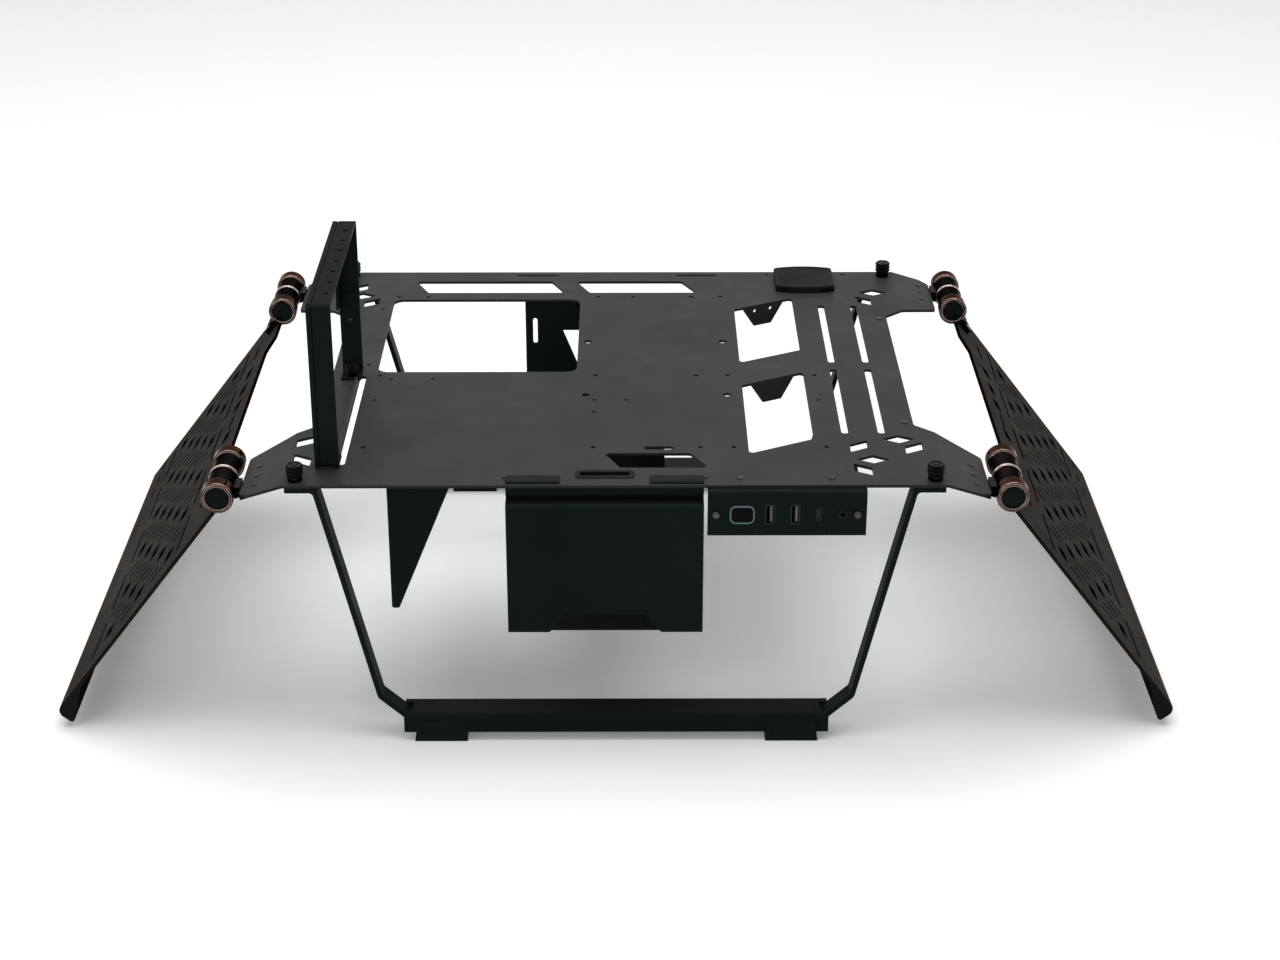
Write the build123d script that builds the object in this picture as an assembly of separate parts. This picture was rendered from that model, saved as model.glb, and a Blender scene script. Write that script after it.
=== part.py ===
import math
import os

from build123d import *

# Open test bench for computer boards: a level board plate on two bent-bar leg frames, two
# perforated wings on barrel hinges, a card stand, a supply cradle and a front port panel.
# Millimetres, +Z up, origin on the floor under the plate's centre, front at -Y.

# Board plate
plate_top = 187.5
plate_depth = 396.6
plate_sheet = 2.0
plate_side_x = 204.7
plate_side_inset = 96.3
plate_corner_r = 4.0
bend_x = 218.0
bend_r = 1.0
arm_root_x = 221.0
arm_root_inset = 80.8
arm_tip_x = 247.0
arm_tip_inset = 60.3
arm_end_inset = 5.3
arm_ease = 7.0
arm_slope = 17.0

# Board hole grid of the standard board sizes
board_x = -170.3
board_y = -138.2
board_columns = [0.0, 154.94, 227.33, 250.0, 312.6]
board_rows = [0.0, 124.46, 281.94]
board_hole_r = 1.75
extra_column = 22.86

# Square pattern of accessory holes
key_pitch = 100.0
key_x = 28.3
key_y = 1.0
key_r = 3.0

# Plate cut-outs as (x, y) corners seen from above
window_x = [-173.0, -29.0]
window_y = [-7.0, 138.0]
window_r = 8.0
slant_r = 2.5
rear_slot_left = [(-159, 177.5), (-52, 177.5), (-41, 152.5), (-148, 152.5)]
rear_slot_right = [(-33, 177.5), (50, 177.5), (62, 152.5), (-22, 152.5)]
cable_window_rear = [(89.5, 116.5), (135, 140.5), (135, 34), (89.5, 10)]
cable_window_front = [(89.5, -32), (134.5, -8), (134.5, -125), (89.5, -149)]
front_slot = [(-8, -148), (50, -148), (62, -171), (3, -171)]
long_slot_x = [156.5, 181.5]
long_slot_y = [(-116.0, -3.0), (10.0, 124.0)]
long_slot_width = 5.0
thin_slots = [(-63.5, 190.5, 33.0, 3.0), (62.0, 190.5, 32.0, 3.0), (29.0, -139.5, 20.0, 5.0)]
lozenge_w = 12.0
lozenge_h = 12.0
lozenge_lean = 7.0
lozenge_r = 0.8
right_lozenges = [(164, -137), (201, -140), (-202.5, 163), (-190, 132), (-210, -128)]
left_lozenges = [(164, -174), (190, 135), (-209, -158)]
diamond_cuts = [(172, -158), (192, -125.5), (199, 152.5), (-199, 146.5)]
diamond_cut_w = 23.0
diamond_cut_h = 13.0
small_holes = [
    (-162, -20), (-132, -20), (-170.3, -58), (-15.4, -58), (7, -58), (142.3, -58.5), (-15.4, -79),
    (-180.5, 118), (-180.5, 7), (11.9, 143.7), (118, 192), (178.5, 192),
]
small_hole_r = 1.5
flap_root = 38.0
flap_tip = 15.0
flap_drop = 15.0
flap_hole_r = 1.5
flap_hole_pitch = 14.0

# Barrel hinges; lengths are measured along the axis from the barrel's middle
hinge_x = 260.6
hinge_drop = 9.5
hinge_inset = 31.3
pin_r = 4.0
pin_clearance = 0.05
pin_half = 28.0
barrel_r = 9.3
barrel_end = 28.5
washer_r = 10.0
washer_half = 1.5
washer_groove = 0.4
side_clearance = 0.3
ring_r = 10.8
ring_start = 20.5
ring_end = 31.3
ring_ease = 1.0
ring_fit = 0.05
ring_lip = 1.3
mouth_r = 7.9
cap_proud = 0.9
cap_dish = 0.9
dish_land = 1.0
cap_sides = 12
link_from = 4.0
link_to = 19.0
link_height = 7.0
arm_gap = 0.3
lug_sheet = 3.0
lug_back = 20.0
lug_from = -19.5
lug_to = 24.0

# Wings; s runs down the wing's slope from the hinge axis
wing_angle = 52.3
wing_face_drop = 3.8
wing_sheet = 2.5
wing_half = 190.0
wing_reach_front = 207.0
wing_reach_rear = 211.0
wing_lip = 13.5
wing_lip_r = 6.0
wing_lip_ease = 2.0
wing_gusset = 29.5
wing_arm_s = 11.5
wing_notch_s = 23.3
wing_notch_half = 105.0
wing_notch_flare = 10.0
foot_from = -19.0
foot_to = -4.0
foot_reach = 27.3
foot_sheet = 4.0

# Wing perforation
row_start = 76.3
row_pitch = 18.6
row_count = 5
column_pitch = 62.5
cell_long = 15.0
cell_short = 8.5
cell_lean = 1.6
hatch_length = 15.0
hatch_width = 3.2
line_rows = [61.3, 167.3]
line_pitch = 73.0
line_length = 54.0
line_width = 3.0
inner_row = 42.3
inner_slots = [-125.0, 5.0, 140.0]
inner_slot_length = 26.0
inner_cells = [-78.0, -49.0, -20.0, 36.0, 65.0, 98.0]
corner_inset = 24.5
corner_slots = [124.0, 150.0, 176.0]
corner_slot_length = 14.0

# Leg frames, base rails and feet
bar = 3.5
bar_depth = 13.5
leg_top_x = 195.3
leg_flange = 21.0
leg_lean = 7.4
leg_knee_x = 158.0
leg_knee_z = 33.6
leg_base_x = 140.7
bar_bend = 3.0
rail_half = 144.0
rail_sheet = 2.0
rail_bottom = 6.5
rail_top = 20.5
rail_depth = 22.0
rail_reach = 9.7
rail_ease = 1.6
rail_notch_x = 138.5
rail_notch_fit = 0.4
shoe_x = 119.0
shoe_width = 36.0
shoe_wall = 1.5
shoe_gap = 0.5
shoe_taper = 2.4
shoe_fit = 0.1
shoe_ease = 1.0

# Card stand
stand_x = -189.9
stand_width = 14.4
stand_sheet = 2.0
stand_front = -173.0
stand_rear = -8.0
stand_height = 116.0
stand_foot = 16.0
stand_side = 1.6
stand_side_depth = 10.0
stand_bend = 0.3
stand_band = 1.4
stand_groove = 1.0
stand_groove_depth = 1.2
stand_side_end = 52.0
stand_tail_end = 34.0
stand_leg_top = 62.0
stand_screw_z = 42.0
strip_sheet = 1.5
strip_lip = 4.0
strip_inset = 0.4
card_pitch = 20.32
card_count = 7
card_hole_x = -187.5
card_hole_r = 1.75
card_slot_x = -182.2
card_slot_width = 4.5
card_slot_inset = 7.0
nut_r = 4.8
nut_height = 8.0
nut_reach = 10.0

# Supply cradle
cradle_sheet = 1.5
cradle_left = -72.0
cradle_right = 58.0
cradle_face_reach = 3.2
cradle_face_top = 13.3
cradle_face_low = 106.0
cradle_neck_drop = 7.7
cradle_neck_inset = 7.3
cradle_rear_y = 139.0
cradle_flange = 9.0
cradle_bend = 1.0
hook_width = 35.5
hook_inset = 12.3
hook_rim = 2.0
hook_fit = 0.1
relief_r = 1.2
relief_reach = 1.5
floor_left = -50.5
floor_right = 36.0
floor_wide_end = -172.0
floor_narrow_start = -150.0
grip_low = 76.0
grip_high = 53.0
grip_height = 13.0
vent_high = 72.0
vent_low = 50.5
vent_top = 26.0
vent_bottom = 53.0
wall_slot_inset = 7.5
wall_slot_width = 3.5
wall_slot_top = 16.0
wall_slot_length = 21.0

# Support fin
fin_left = -151.0
fin_right = -107.0
fin_inset = 14.3
fin_sheet = 2.0
fin_drop = 98.0
fin_tip = 5.0
fin_flange = 12.0

# Front port panel
panel_left = 60.3
panel_right = 164.5
panel_reach = 4.7
panel_sheet = 1.5
panel_drop = 34.3
panel_back_inset = 22.3
port_drop = 19.2
panel_screw_x = [65.8, 158.6]
top_screw_x = [82.0, 142.0]
top_screw_inset = 11.3
button_x = 83.0
button_w = 14.0
button_h = 10.6
button_r = 3.0
button_fit = 0.2
button_ring = 0.9
button_proud = 0.8
button_length = 7.0
button_flange = 1.0
button_rest_gap = 0.3
usb_a_x = [101.2, 117.8]
usb_a_w = 6.0
usb_a_h = 13.9
usb_c_x = 133.2
usb_c_w = 3.4
usb_c_h = 9.0
shell = 0.6
port_fit = 0.15
jack_x = 148.9
jack_r = 3.2
jack_bore_r = 1.75
jack_depth = 10.0
board_back = 13.0
board_sheet = 1.6
port_round_play = 0.01
housing_left = 62.5
housing_right = 162.0
housing_depth = 51.0
housing_wall = 1.5
housing_gap = 0.2
housing_low = 32.5

# Fasteners, pad and grommet
knob_x = 210.0
knob_inset = 8.8
knob_r = 5.9
knob_base_r = 5.0
knob_base = 4.0
knob_height = 11.5
knob_ribs = 16
rib_r = 0.6
stem_r = 2.0
head_r = 2.6
head_height = 1.6
low_head = 0.6
arm_head_r = 2.1
drive_share = 0.8
shank_r = 1.4
shank = 4.0
drive_w = 0.7
strip_screw_x = 199.0
strip_screw_y = 97.0
pad_x = [123.5, 169.5]
pad_y = [150.7, 197.5]
pad_height = 5.5
pad_crown = 4.0
pad_r = 3.0
grommet_x = [-25.0, 11.0]
grommet_inset = 12.3
grommet_depth = 9.0
grommet_rim = 1.6
grommet_r = 2.5
grommet_lip = 0.6
grommet_fit = 0.1

# Values worked out from the sizes above
plate_half = plate_depth / 2
plate_side_half = plate_half - plate_side_inset
arm_root_y = plate_half - arm_root_inset
arm_tip_in = plate_half - arm_tip_inset
arm_tip_out = plate_half - arm_end_inset
hinge_y = plate_half - hinge_inset
cradle_face_y = -plate_half - cradle_face_reach
cradle_neck_y = -plate_half + cradle_neck_inset
hook_edge = -plate_half + hook_rim + cradle_sheet
hook_back = -plate_half + hook_inset
hook_x = [cradle_left, cradle_right - hook_width]
fin_y = -plate_half + fin_inset
panel_y = -plate_half - panel_reach
panel_back = -plate_half + panel_back_inset
top_screw_y = -plate_half + top_screw_inset
housing_back = panel_y + panel_sheet + housing_depth
knob_y = plate_half - knob_inset
grommet_y = [-plate_half + grommet_inset, -plate_half + grommet_inset + grommet_depth]
corner_row = wing_reach_rear - corner_inset
cap_rim = ring_end - ring_lip - ring_fit - barrel_end
cap_face = barrel_end + cap_rim
plate_under = plate_top - plate_sheet
hinge_z = plate_top - hinge_drop
slope = math.tan(math.radians(arm_slope))
arm_drop = (arm_tip_x - bend_x) * slope
sheet_drop = plate_sheet / math.cos(math.radians(arm_slope))
lug_drop = lug_sheet / math.cos(math.radians(arm_slope))
turn = math.radians(wing_angle)
wing_plane = Plane(
    origin=(hinge_x, 0, hinge_z),
    x_dir=(math.cos(turn), 0, -math.sin(turn)),
    z_dir=(math.sin(turn), 0, math.cos(turn)),
)
rail_out = plate_half + rail_reach
rail_in = rail_out - rail_depth
leg_base_z = rail_top - rail_sheet
leg_base_out = plate_half + leg_lean
shoe_height = leg_base_z - bar - shoe_gap
port_z = plate_top - port_drop
strip_top = plate_top + strip_sheet
stand_top = plate_top + stand_height
stand_left = stand_x - stand_width / 2
stand_right = stand_x + stand_width / 2
strip_right = card_slot_x - card_slot_width / 2 - strip_inset
io_board_y = panel_y + board_back

os.makedirs("parts", exist_ok=True)
written = []


def save(name, *shapes):
    solids = []
    for shape in shapes:
        solids += list(shape.solids())
    body = solids[0] if len(solids) == 1 else Compound(children=solids)
    export_step(body, f"parts/{name}.step")
    written.append(name)


def folded(points, thickness, bend):
    """Section of a folded sheet: points run along one face, the sheet lies on their right."""
    normals = []
    for (ax, ay), (bx, by) in zip(points, points[1:]):
        length = math.hypot(bx - ax, by - ay)
        normals.append(((by - ay) / length, (ax - bx) / length))
    far = []
    near_r = []
    far_r = []
    for i, (x, y) in enumerate(points):
        ax, ay = normals[max(i - 1, 0)]
        bx, by = normals[min(i, len(normals) - 1)]
        share = thickness / (1 + ax * bx + ay * by)
        far.append((x + (ax + bx) * share, y + (ay + by) * share))
        if 0 < i < len(points) - 1:
            turns_right = ax * by - ay * bx < 0
            near_r.append(bend + thickness if turns_right else bend)
            far_r.append(bend if turns_right else bend + thickness)
    near_line = FilletPolyline(*points, radius=near_r)
    far_line = FilletPolyline(*far, radius=far_r)
    return make_face([near_line, Line(points[-1], far[-1]), far_line, Line(points[0], far[0])])


def along_x(face, x0, x1):
    return extrude(Plane.YZ.offset(x0) * face, amount=x1 - x0, dir=(1, 0, 0))


def along_y(face, y0, y1):
    back = Plane(origin=(0, y1, 0), x_dir=(1, 0, 0), z_dir=(0, -1, 0))
    return extrude(back * face, amount=y1 - y0, dir=(0, -1, 0))


def upright(sketch, z0, z1):
    return extrude(Pos(0, 0, z0) * sketch, amount=z1 - z0, dir=(0, 0, 1))


def block(x0, x1, y0, y1, z0, z1):
    low = (Align.MIN, Align.MIN, Align.MIN)
    return Pos(x0, y0, z0) * Box(x1 - x0, y1 - y0, z1 - z0, align=low)


def drum(radius, y0, y1):
    return Pos(0, (y0 + y1) / 2, 0) * Rot(90, 0, 0) * Cylinder(radius, y1 - y0)


def turned(points):
    """Body turned about the Y axis from a half section of (radius, y) points."""
    return revolve(Polygon(*points, align=None), axis=Axis.Y)


def polygon(points):
    return Polygon(*points, align=None)


def rounded(points, radius):
    sketch = polygon(points)
    return fillet(sketch.vertices(), radius)


def left_of(shape):
    return mirror(shape, about=Plane.YZ)


def front_of(shape):
    return mirror(shape, about=Plane.XZ)


def board_holes():
    spots = [(board_x + c, board_y + r) for c in board_columns for r in board_rows]
    spots.remove((board_x + board_columns[-1], board_y + board_rows[-1]))
    return spots + [(board_x + extra_column, board_y + board_rows[-1])]


def key_holes():
    half = key_pitch / 2
    return [(key_x + sx * half, key_y + sy * half) for sx in (-1, 1) for sy in (-1, 1)]


def arm_screws():
    x = (arm_tip_x + arm_root_x) / 2 + lug_back / 5
    middle = hinge_y + (lug_from + lug_to) / 2
    step = (lug_to - lug_from) / 3
    return [(x, middle - step), (x, middle), (x, middle + step)]


def arm_bores():
    """Screw bores square to the rear right arm's slope."""
    tilt = Rot(0, arm_slope, 0)
    return [Pos(x, y, arm_top(x)) * tilt * Cylinder(shank_r, 4 * shank) for x, y in arm_screws()]


def all_corners(shape):
    """The rear right shape, then its images rear left, front right and front left."""
    return [shape, left_of(shape), front_of(shape), left_of(front_of(shape))]


def arm_top(x):
    return plate_top - (x - bend_x) * slope


def nut_spots():
    return [(stand_x, stand_front + nut_reach), (stand_x, stand_rear - stand_sheet - nut_reach)]


def lozenge(x, y, lean):
    w, h = lozenge_w / 2, lozenge_h / 2
    d = lean * lozenge_lean / 2
    corners = [(x - w, y - h - d), (x + w, y - h + d), (x + w, y + h + d), (x - w, y + h - d)]
    return rounded(corners, lozenge_r)


def rhomb(x, y, width, height):
    return polygon([(x - width / 2, y), (x, y - height / 2), (x + width / 2, y), (x, y + height / 2)])


def plate_outline():
    corner = [
        (plate_side_x, plate_side_half), (arm_root_x, arm_root_y), (arm_tip_x, arm_tip_in),
        (arm_tip_x, arm_tip_out), (arm_tip_x - arm_ease, plate_half),
    ]
    points = corner + [(-x, y) for x, y in reversed(corner)]
    points += [(-x, -y) for x, y in corner] + [(x, -y) for x, y in reversed(corner)]
    return rounded(points, plate_corner_r)


def plate_cuts():
    x0, x1 = window_x
    y0, y1 = window_y
    cuts = [Pos((x0 + x1) / 2, (y0 + y1) / 2) * RectangleRounded(x1 - x0, y1 - y0, window_r)]
    for points in (rear_slot_left, rear_slot_right, cable_window_rear, cable_window_front, front_slot):
        cuts.append(rounded(points, slant_r))
    cuts += [lozenge(x, y, 1) for x, y in right_lozenges]
    cuts += [lozenge(x, y, -1) for x, y in left_lozenges]
    cuts += [rhomb(x, y, diamond_cut_w, diamond_cut_h) for x, y in diamond_cuts]
    for x in long_slot_x:
        for low, high in long_slot_y:
            cuts.append(Pos(x, (low + high) / 2) * SlotOverall(high - low, long_slot_width, rotation=90))
    for x, y, length, width in thin_slots:
        cuts.append(Pos(x, y) * SlotOverall(length, width))
    card_length = stand_rear - stand_front - 2 * card_slot_inset
    card_y = (stand_front + stand_rear) / 2
    cuts.append(Pos(card_slot_x, card_y) * SlotOverall(card_length, card_slot_width, rotation=90))
    for x, y in key_holes():
        cuts.append(Pos(x, y) * Circle(key_r))
    cuts.append(grommet_hole(0))
    notch_y = [hook_edge - cradle_sheet - hook_fit, hook_edge + hook_fit]
    for x in hook_x:
        notch = Rectangle(hook_width + 2 * hook_fit, notch_y[1] - notch_y[0])
        cuts.append(Pos(x + hook_width / 2, (notch_y[0] + notch_y[1]) / 2) * notch)
    for x in (cradle_left - relief_reach, cradle_right + relief_reach):
        cuts.append(Pos(x, hook_back - relief_reach) * Circle(relief_r))
    cuts += [Pos(x, y) * Circle(board_hole_r) for x, y in board_holes()]
    cuts += [Pos(x, y) * Circle(small_hole_r) for x, y in small_holes]
    cuts += [Pos(x, top_screw_y) * Circle(shank_r) for x in top_screw_x]
    cuts += [Pos(strip_screw_x, sy * strip_screw_y) * Circle(shank_r) for sy in (-1, 1)]
    cuts += [Pos(sx * knob_x, sy * knob_y) * Circle(stem_r) for sx in (-1, 1) for sy in (-1, 1)]
    cuts += [Pos(x, y) * Circle(stem_r) for x, y in nut_spots()]
    return cuts


def grommet_hole(inset):
    x0, x1 = grommet_x
    y0, y1 = grommet_y
    wide = x1 - x0 - 2 * inset
    deep = y1 - y0 - 2 * inset
    return Pos((x0 + x1) / 2, (y0 + y1) / 2) * RectangleRounded(wide, deep, grommet_r - inset)


def flap(a, b, inward, holes):
    """Tongue folded down from the slanted edge between a and b, on the plate's side of it."""
    along = Vector(b[0] - a[0], b[1] - a[1], 0).normalized()
    away = Vector(-along.Y, along.X, 0) * inward
    middle = Vector((a[0] + b[0]) / 2, (a[1] + b[1]) / 2, plate_top)
    tongue = polygon([
        (-flap_root / 2, 0), (flap_root / 2, 0), (flap_tip / 2, -flap_drop - plate_sheet),
        (-flap_tip / 2, -flap_drop - plate_sheet),
    ])
    if holes:
        for side in (-1, 1):
            tongue -= Pos(side * flap_hole_pitch / 2, -plate_sheet - 2 * flap_hole_r) * Circle(flap_hole_r)
    face = Plane(origin=middle, x_dir=along, z_dir=along.cross(Vector(0, 0, 1)))
    return extrude(face * tongue, amount=plate_sheet, dir=away)


def main_plate():
    path = [(-arm_tip_x, -arm_drop), (-bend_x, 0), (bend_x, 0), (arm_tip_x, -arm_drop)]
    sheet = along_y(Pos(0, plate_top) * folded(path, plate_sheet, bend_r), -plate_half, plate_half)
    low = plate_under - arm_drop - plate_sheet
    outline = upright(plate_outline(), low, plate_top + plate_sheet)
    cuts = upright(Sketch() + plate_cuts(), low, plate_top + plate_sheet)
    plate = (sheet & outline) - cuts
    for bore in arm_bores():
        plate -= all_corners(bore)
    plate += flap(cable_window_rear[0], cable_window_rear[1], 1, True)
    plate += flap(cable_window_front[0], cable_window_front[1], 1, False)
    plate += flap(cable_window_rear[3], cable_window_rear[2], -1, False)
    return plate


def leg_frame():
    """Bent bar of one leg pair, leaning outwards from the plate's edge down to its rail."""
    half = [
        (leg_top_x + leg_flange, plate_under), (leg_top_x, plate_under), (leg_knee_x, leg_knee_z),
        (leg_base_x, leg_base_z),
    ]
    path = [(-x, z) for x, z in half] + [(x, z) for x, z in reversed(half)]
    frame = along_y(folded(path, bar, bar_bend), plate_half - 2 * bar_depth, plate_half + 2 * bar_depth)
    low = leg_base_z - bar
    lean = polygon([
        (plate_half - bar_depth, plate_under), (plate_half, plate_under), (leg_base_out, low),
        (leg_base_out - bar_depth, low),
    ])
    frame = frame & along_x(lean, -leg_top_x - leg_flange, leg_top_x + leg_flange)
    for side in (-1, 1):
        frame -= Pos(side * knob_x, knob_y, plate_under) * Cylinder(stem_r, 4 * bar)
    return frame


def base_rail():
    """Channel over the leg frame's base, its top notched where the bar rises out of each end."""
    rail = block(-rail_half, rail_half, rail_in, rail_out, rail_bottom, rail_top)
    rail = fillet(rail.edges().filter_by(Axis.X).group_by(Axis.Z)[-1], rail_ease)
    s = rail_sheet
    rail -= block(-rail_half, rail_half, rail_in + s, rail_out - s, rail_bottom, rail_top - s)
    y0 = leg_base_out - bar_depth - rail_notch_fit
    y1 = leg_base_out + rail_notch_fit
    for x0, x1 in ((-rail_half, -rail_notch_x), (rail_notch_x, rail_half)):
        rail -= block(x0, x1, y0, y1, rail_top - s, rail_top)
    return rail


def shoe():
    """Rubber foot that the rail's lower edges stand in, rear right."""
    y0, y1 = rail_in, rail_out
    x0, x1 = shoe_x - shoe_width / 2, shoe_x + shoe_width / 2
    side = polygon([
        (x0, 0), (x1, 0), (x1, shoe_height / 4), (x1 - shoe_taper, shoe_height),
        (x0 + shoe_taper, shoe_height), (x0, shoe_height / 4),
    ])
    body = along_y(side, y0 - shoe_wall, y1 + shoe_wall)
    body = chamfer(body.edges().group_by(Axis.Z)[0], shoe_ease)
    groove = rail_sheet + 2 * shoe_fit
    body -= block(x0, x1, y0 - shoe_fit, y0 - shoe_fit + groove, rail_bottom, shoe_height)
    return body - block(x0, x1, y1 + shoe_fit - groove, y1 + shoe_fit, rail_bottom, shoe_height)


def wing_reach(y):
    share = (y + wing_half) / (2 * wing_half)
    return wing_reach_front + share * (wing_reach_rear - wing_reach_front)


def slot_cut(s, y, length, width):
    return Pos(s, y) * Rectangle(width, length)


def wing_cell(s, y):
    w, h = cell_short / 2, cell_long / 2
    d = cell_lean / 2
    return polygon([(s - w + d, y - h), (s + w + d, y - h), (s + w - d, y + h), (s - w - d, y + h)])


def wing_cuts():
    """Rows of leaning cells with hatched cells between them, edged by two lines of long slots."""
    cuts = []
    reach = wing_half - column_pitch / 2
    columns = [i * column_pitch / 2 for i in range(-12, 13) if abs(i) * column_pitch / 2 < reach + 1]
    for k in range(row_count):
        s = row_start + k * row_pitch
        for i, y in enumerate(columns):
            if (i + k) % 2 == 0:
                cuts.append(wing_cell(s, y))
                continue
            for side in (-1, 1):
                place = Pos(s + side * row_pitch / 4, y + side * column_pitch / 8)
                cuts.append(place * Rectangle(hatch_length, hatch_width))
    for s in line_rows:
        cuts += [slot_cut(s, i * line_pitch, line_length, line_width) for i in range(-2, 3)]
    cuts += [slot_cut(inner_row, y, inner_slot_length, line_width) for y in inner_slots]
    cuts += [wing_cell(inner_row, y) for y in inner_cells]
    cuts += [slot_cut(corner_row, y, corner_slot_length, line_width) for y in corner_slots]
    return cuts


def wing_screws():
    s = (wing_arm_s + foot_reach) / 2
    step = (foot_to - foot_from) / 4
    middle = (foot_from + foot_to) / 2
    return [(s, middle - step), (s, middle + step)]


def wing():
    """Right wing: perforated sheet with two hinge arms, a folded outer lip and a gusset at each lip end."""
    flare = wing_notch_half + wing_notch_flare
    face = polygon([
        (wing_arm_s, -wing_half), (wing_reach(-wing_half), -wing_half), (wing_reach(wing_half), wing_half),
        (wing_arm_s, wing_half), (wing_arm_s, flare), (wing_notch_s, wing_notch_half),
        (wing_notch_s, -wing_notch_half), (wing_arm_s, -flare),
    ])
    top = -wing_face_drop
    body = upright(face, top - wing_sheet, top)
    lip = polygon([
        (wing_reach(-wing_half) - wing_sheet, -wing_half), (wing_reach(-wing_half), -wing_half),
        (wing_reach(wing_half), wing_half), (wing_reach(wing_half) - wing_sheet, wing_half),
    ])
    body += upright(lip, top - wing_lip, top)
    inner = wing_half - wing_sheet
    for y0, y1 in ((-wing_half, -inner), (inner, wing_half)):
        out = min(wing_reach(y0), wing_reach(y1)) - wing_sheet / 2
        middle = top - wing_sheet / 2
        gusset = polygon([(out - wing_gusset, middle), (out, middle), (out, top - wing_lip)])
        body += along_y(gusset, y0, y1)
    rim = body.edges().filter_by(lambda e: e.length > 2 * wing_half - wing_sheet)
    rim = rim.filter_by(lambda e: e.center().X > wing_reach(0) - wing_sheet / 2).sort_by(Axis.Z)
    body = fillet(rim[-1], wing_lip_r)
    rim = body.edges().filter_by(lambda e: e.length > 2 * wing_half - wing_sheet)
    rim = rim.filter_by(lambda e: e.center().X > wing_reach(0) - wing_sheet / 2).sort_by(Axis.Z)
    body = fillet(rim[0], wing_lip_ease)
    cuts = wing_cuts()
    for side in (-1, 1):
        cuts += [Pos(s, side * (hinge_y + u)) * Circle(shank_r) for s, u in wing_screws()]
    body -= upright(Sketch() + cuts, top - 2 * wing_sheet, top + wing_sheet)
    return wing_plane * body


def at_hinge(shape):
    return Pos(hinge_x, hinge_y, hinge_z) * shape


def on_wing(shape):
    return wing_plane * (Pos(0, hinge_y, 0) * shape)


def fixed_knuckle():
    """Outer half of the barrel, linked to a lug that is screwed under the plate's arm."""
    tip = arm_tip_x - hinge_x
    under = arm_top(arm_tip_x) - sheet_drop - hinge_z
    back = tip - lug_back
    rise = lug_back * slope
    run = tip * slope
    lug = polygon([
        (back, under + rise), (tip, under), (tip, under - lug_drop), (back, under + rise - lug_drop),
    ])
    tongue = polygon([
        (back, under + rise), (0, under + run), (0, under + run - lug_drop), (back, under + rise - lug_drop),
    ])
    start = tip + arm_gap
    bridge = polygon([
        (start, under - lug_drop), (0, under - lug_drop), (0, under - lug_drop + link_height),
        (start, under - lug_drop + link_height),
    ])
    body = along_y(lug, lug_from, lug_to) + along_y(tongue, link_from, link_to)
    body += along_y(bridge, link_from, link_to)
    body += drum(barrel_r, washer_half, barrel_end)
    body -= drum(pin_r + pin_clearance, washer_half, barrel_end)
    for bore in arm_bores():
        body -= Pos(-hinge_x, -hinge_y, -hinge_z) * bore
    return body


def moving_knuckle():
    """Inner half of the barrel with the foot that is screwed on top of the wing's arm."""
    body = drum(barrel_r, -barrel_end, -washer_half - side_clearance)
    body += block(0, foot_reach, foot_from, foot_to, -wing_face_drop, -wing_face_drop + foot_sheet)
    body -= drum(pin_r + pin_clearance, -barrel_end, -washer_half)
    for s, u in wing_screws():
        body -= Pos(s, u, -wing_face_drop) * Cylinder(shank_r, 4 * foot_sheet)
    return body


def washer():
    bore = pin_r + pin_clearance
    edge = washer_half / 3
    low = washer_r - washer_groove
    return turned([
        (bore, -washer_half), (washer_r, -washer_half), (washer_r, -edge), (low, -edge), (low, edge),
        (washer_r, edge), (washer_r, washer_half), (bore, washer_half),
    ])


def end_ring(side):
    """Bright ring round the barrel's end; side 1 is the outer end and -1 the inner end."""
    bore = barrel_r + ring_fit
    lip = ring_end - ring_lip
    half = [
        (bore, ring_start), (ring_r - ring_ease, ring_start), (ring_r, ring_start + ring_ease),
        (ring_r, ring_end - ring_ease), (ring_r - ring_ease, ring_end), (mouth_r + ring_ease / 2, ring_end),
        (mouth_r, ring_end - ring_ease / 2), (mouth_r, lip), (bore, lip),
    ]
    return turned([(r, side * v) for r, v in half])


def end_disc(side):
    """Faceted black disc held behind the ring's lip."""
    seat = Plane(origin=(0, side * barrel_end, 0), z_dir=(0, side, 0))
    rim = Plane(origin=(0, side * cap_face, 0), z_dir=(0, side, 0))
    core = extrude(seat * Circle(barrel_r - ring_fit), amount=cap_rim)
    flat = RegularPolygon(mouth_r - 2 * ring_fit, cap_sides)
    tip = RegularPolygon(mouth_r / 3, cap_sides)
    top = Plane(origin=(0, side * (cap_face + cap_proud), 0), z_dir=(0, side, 0))
    return core + loft([rim * flat, top * tip])


def end_dish(side):
    """Bright dished disc held behind the ring's lip, bored for its screw."""
    radius = barrel_r - ring_fit
    low = cap_face - cap_dish
    half = [
        (shank_r, barrel_end), (radius, barrel_end), (radius, cap_face), (mouth_r - dish_land, cap_face),
        (head_r + dish_land, low), (shank_r, low),
    ]
    return turned([(r, side * v) for r, v in half])


def screw(length, tall=head_height, radius=head_r):
    """Cross-recess screw, head up, seated at the origin."""
    head = Pos(0, 0, tall / 2) * Cylinder(radius, tall)
    head = fillet(head.edges().group_by(Axis.Z)[-1], tall / 2)
    body = head + Pos(0, 0, -length / 2) * Cylinder(shank_r, length)
    for turned_by in (0, 90):
        body -= Pos(0, 0, tall) * Rot(0, 0, turned_by) * Box(drive_share * radius, drive_w, tall)
    return body


def dish_screw(side):
    low = cap_face - cap_dish
    return Pos(0, side * low, 0) * Rot(-90 * side, 0, 0) * screw(low - barrel_end)


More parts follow.
